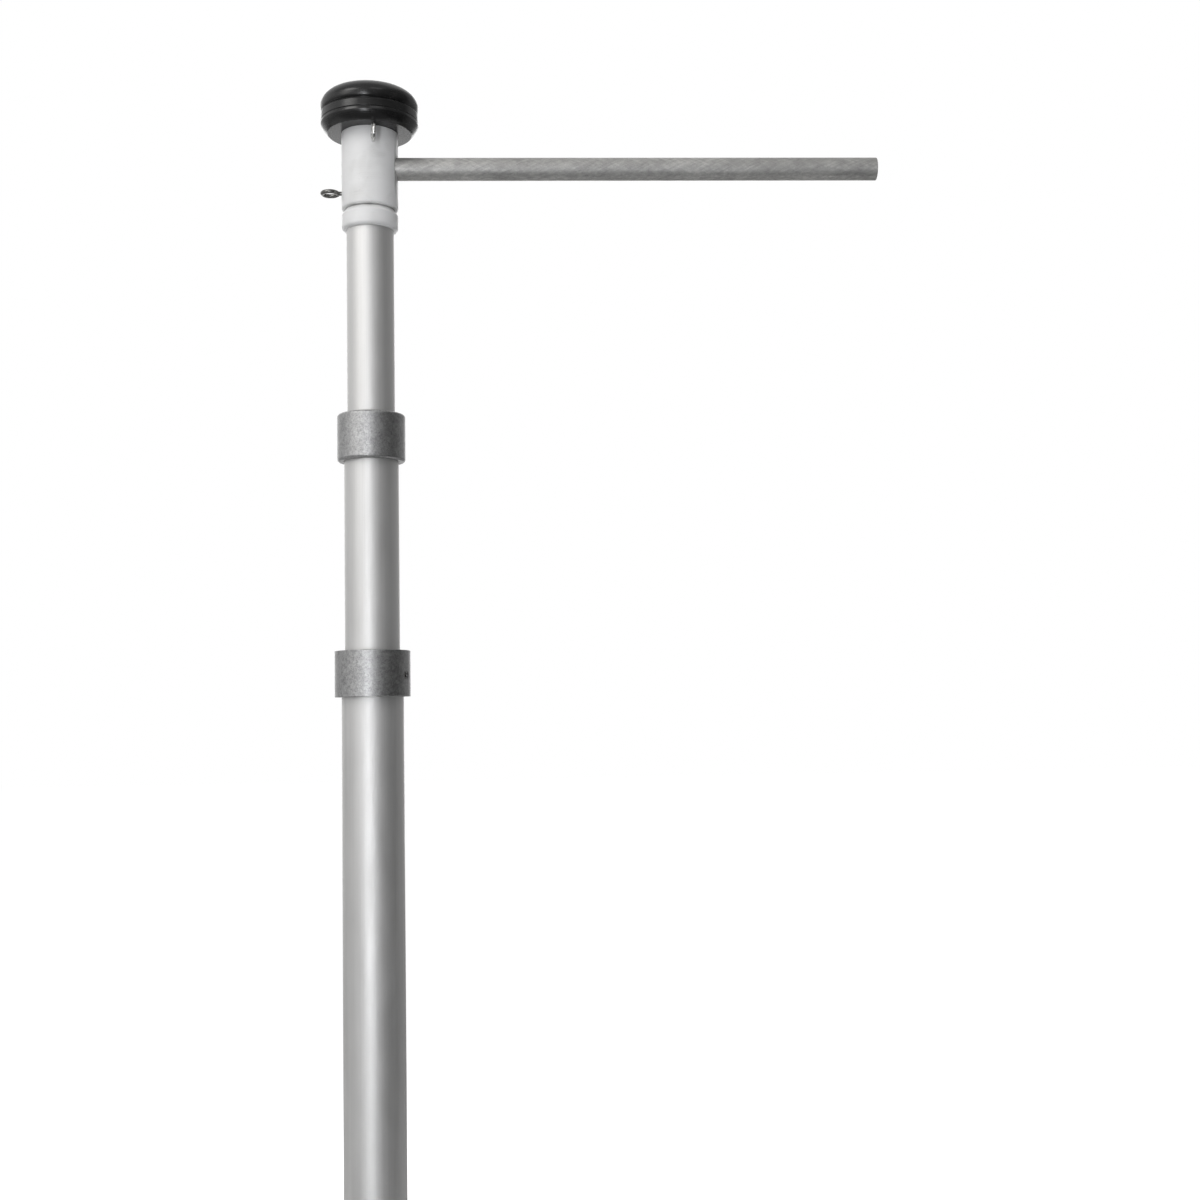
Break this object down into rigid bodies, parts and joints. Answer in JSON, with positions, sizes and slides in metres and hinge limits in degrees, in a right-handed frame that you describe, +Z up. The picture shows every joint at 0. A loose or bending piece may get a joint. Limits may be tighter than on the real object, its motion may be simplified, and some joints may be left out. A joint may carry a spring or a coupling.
{
  "type": "telescopic flagpole with turning banner arm",
  "caption": "Telescopic pole of three sliding tubes with clamp collars and a turning plastic head that carries a horizontal pipe arm, screw eyes and a domed cap.",
  "frame": {"origin": "centre of the foot plug's bottom face, on the ground", "axes": "+Z up the pole, +X along the banner arm with the head at rest"},
  "size_m": [0.839, 0.1464, 2.4449],
  "materials": {
    "tube_aluminium": "satin anodised, fine drawn grain along the tube",
    "collar_metal": "zinc-coated casting, grainy skin, lightly turned",
    "bush_plastic": "moulded, slightly worn",
    "set_screw_steel": "blackened steel",
    "white_plastic": "turned and smooth, soft sheen",
    "cap_plastic": "turned, half gloss, fine lathe lines",
    "bright_steel": "polished plated steel",
    "galvanised_pipe": "galvanised, faint drawn streaks and scuffs",
    "foot_plastic": "moulded"
  },
  "bodies": {
    "lower": {"foot_plug": "foot_plastic", "lower_tube": "tube_aluminium", "lower_collar": "collar_metal", "lower_guide_bush": "bush_plastic", "lower_clamp_screw": "set_screw_steel"},
    "middle": {"middle_tube": "tube_aluminium", "middle_foot_bush": "bush_plastic", "middle_collar": "collar_metal", "middle_guide_bush": "bush_plastic", "middle_clamp_screw": "set_screw_steel"},
    "top": {"top_tube": "tube_aluminium", "top_foot_bush": "bush_plastic", "head_plug": "white_plastic"},
    "head": {"rotor": "white_plastic", "cap": "cap_plastic", "cap_screw_eye": "bright_steel", "retaining_screw_eye": "bright_steel", "arm": "galvanised_pipe", "arm_end_plug": "bush_plastic"}
  },
  "joints": [
    {"name": "middle_slide", "type": "slide", "parent": "lower", "child": "middle", "axis": [0, 0, 1], "range_m": [-0.274, 0.94]},
    {"name": "top_slide", "type": "slide", "parent": "middle", "child": "top", "axis": [0, 0, 1], "range_m": [-0.273, 0.96]},
    {"name": "head_turn", "type": "hinge", "parent": "top", "child": "head", "pos_m": [0, 0, 2.2629], "axis": [0, 0, 1], "continuous": true}
  ]
}
